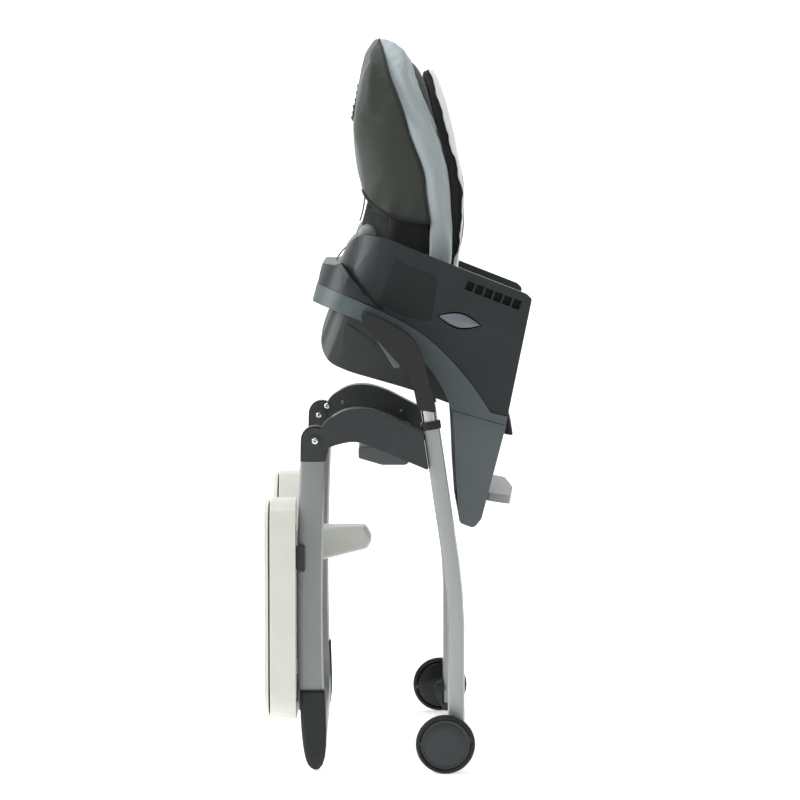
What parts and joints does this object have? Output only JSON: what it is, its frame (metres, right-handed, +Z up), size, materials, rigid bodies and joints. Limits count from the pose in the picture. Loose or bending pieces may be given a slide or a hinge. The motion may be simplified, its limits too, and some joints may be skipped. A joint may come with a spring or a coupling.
{
  "type": "folding high chair",
  "caption": "Folding wheeled high chair, shown folded, with height-adjusting seat, reclining padded back, lift-off booster, footrest and a tray stowed on the rear legs.",
  "frame": {"origin": "on the floor, under the middle of the chair's bounding box, in the folded pose", "axes": "+X forward, the way the child faces; +Y to the child's left; +Z up"},
  "size_m": [0.4052, 0.58, 1.1084],
  "materials": {
    "tube_grey": "satin metallic light grey paint",
    "steel": "bright plated",
    "steel_tube": "plated",
    "charcoal_plastic": "satin, fine grain",
    "black_plastic": "satin",
    "warm_grey": "matt, fine grain",
    "band_grey": "satin",
    "slate": "satin",
    "pale_grey": "satin",
    "wheel_grey": "satin",
    "tyre": "matt rubber",
    "white_plastic": "semi-gloss",
    "milky_plastic": "semi-gloss, slightly clear",
    "olive_fabric": "coated woven cloth",
    "blue_grey_fabric": "soft woven cloth",
    "black_fabric": "soft woven cloth",
    "white_fabric": "soft padded cloth with black sides",
    "webbing": "woven webbing"
  },
  "bodies": {
    "front_frame": {"front_leg_left": "tube_grey", "front_leg_right": "tube_grey", "leg_collar_left": "black_plastic", "leg_collar_right": "black_plastic", "wheel_mount_left": "charcoal_plastic", "wheel_mount_right": "charcoal_plastic", "wheel_axle_left": "steel", "wheel_axle_right": "steel", "hinge_arm_left": "charcoal_plastic", "hinge_arm_right": "charcoal_plastic", "hub_pin_left": "steel", "hub_pin_right": "steel", "crossbar": "band_grey"},
    "rear_frame": {"rear_knuckle_left": "charcoal_plastic", "rear_knuckle_right": "charcoal_plastic", "rear_leg_left": "tube_grey", "rear_leg_right": "tube_grey", "foot_cap_left": "charcoal_plastic", "foot_cap_right": "charcoal_plastic", "rear_crossbar": "tube_grey", "tray_peg_left": "charcoal_plastic", "tray_peg_right": "charcoal_plastic"},
    "wheel_left": {"wheel_disc_left": "wheel_grey", "wheel_tyre_left": "tyre"},
    "wheel_right": {"wheel_disc_right": "wheel_grey", "wheel_tyre_right": "tyre"},
    "fold_handle": {"fold_handle": "band_grey"},
    "seat_base": {"inner_tube_left": "steel_tube", "inner_tube_right": "steel_tube", "seat_bracket_left": "warm_grey", "seat_bracket_right": "warm_grey", "seat_band": "band_grey", "seat_pan": "warm_grey", "calf_support": "band_grey"},
    "height_lever_left": {"height_lever_left": "pale_grey"},
    "height_lever_right": {"height_lever_right": "pale_grey"},
    "footrest": {"footrest": "pale_grey"},
    "booster": {"booster_tub": "slate", "seat_pad": "black_fabric", "crotch_strap": "webbing", "harness_buckle": "black_plastic"},
    "booster_button_left": {"booster_button_left": "pale_grey"},
    "booster_button_right": {"booster_button_right": "pale_grey"},
    "backrest": {"back_shell": "warm_grey", "back_cover": "olive_fabric", "back_pad": "blue_grey_fabric", "infant_insert": "white_fabric", "shoulder_strap_left": "webbing", "shoulder_strap_right": "webbing", "harness_back_strap": "webbing"},
    "tray": {"tray_base": "white_plastic", "tray_rail_left": "band_grey", "tray_rail_right": "band_grey", "crotch_post": "milky_plastic"},
    "tray_insert": {"tray_insert": "white_plastic"},
    "tray_release": {"tray_release": "black_plastic"}
  },
  "joints": [
    {"name": "rear_leg_fold", "type": "hinge", "parent": "front_frame", "child": "rear_frame", "pos_m": [-0.1255, 0, 0.504], "axis": [0, 1, 0], "range_deg": [0, 57]},
    {"name": "wheel_left_roll", "type": "hinge", "parent": "front_frame", "child": "wheel_left", "pos_m": [0.07108, 0.277, 0.045], "axis": [0, 1, 0], "continuous": true},
    {"name": "wheel_right_roll", "type": "hinge", "parent": "front_frame", "child": "wheel_right", "pos_m": [0.07108, -0.277, 0.045], "axis": [0, 1, 0], "continuous": true},
    {"name": "fold_handle_pull", "type": "slide", "parent": "front_frame", "child": "fold_handle", "axis": [0, 0, 1], "range_m": [0, 0.01], "stiffness_N_per_m": 500, "springref_m": -0.01},
    {"name": "seat_height", "type": "slide", "parent": "front_frame", "child": "seat_base", "axis": [-0.1478, 0, 0.989], "range_m": [0, 0.15]},
    {"name": "height_lever_left_squeeze", "type": "hinge", "parent": "seat_base", "child": "height_lever_left", "pos_m": [-0.03748, 0, 0.667], "axis": [0, -1, 0], "range_deg": [0, 5], "stiffness_Nm_per_rad": 3, "springref_deg": -5.73},
    {"name": "height_lever_right_squeeze", "type": "hinge", "parent": "seat_base", "child": "height_lever_right", "pos_m": [-0.03748, 0, 0.667], "axis": [0, -1, 0], "range_deg": [0, 5], "stiffness_Nm_per_rad": 3, "springref_deg": -5.73},
    {"name": "footrest_height", "type": "slide", "parent": "seat_base", "child": "footrest", "axis": [0.2442, 0, 0.9697], "range_m": [0, 0.08]},
    {"name": "booster_lift", "type": "slide", "parent": "seat_base", "child": "booster", "axis": [0.3584, 0, 0.9336], "range_m": [0, 0.12]},
    {"name": "booster_button_left_press", "type": "slide", "parent": "booster", "child": "booster_button_left", "axis": [0, -1, 0], "range_m": [0, 0.003], "stiffness_N_per_m": 500, "springref_m": -0.002},
    {"name": "booster_button_right_press", "type": "slide", "parent": "booster", "child": "booster_button_right", "axis": [0, 1, 0], "range_m": [0, 0.003], "stiffness_N_per_m": 500, "springref_m": -0.002},
    {"name": "back_recline", "type": "hinge", "parent": "booster", "child": "backrest", "pos_m": [-0.04893, 0, 0.81176], "axis": [0, -1, 0], "range_deg": [0, 25]},
    {"name": "tray_off", "type": "slide", "parent": "rear_frame", "child": "tray", "axis": [-1, 0, 0], "range_m": [0, 0.15]},
    {"name": "tray_insert_off", "type": "slide", "parent": "tray", "child": "tray_insert", "axis": [-1, 0, 0], "range_m": [0, 0.1]},
    {"name": "tray_release_squeeze", "type": "slide", "parent": "tray", "child": "tray_release", "axis": [0, 0, 1], "range_m": [0, 0.006], "stiffness_N_per_m": 500, "springref_m": -0.002}
  ]
}
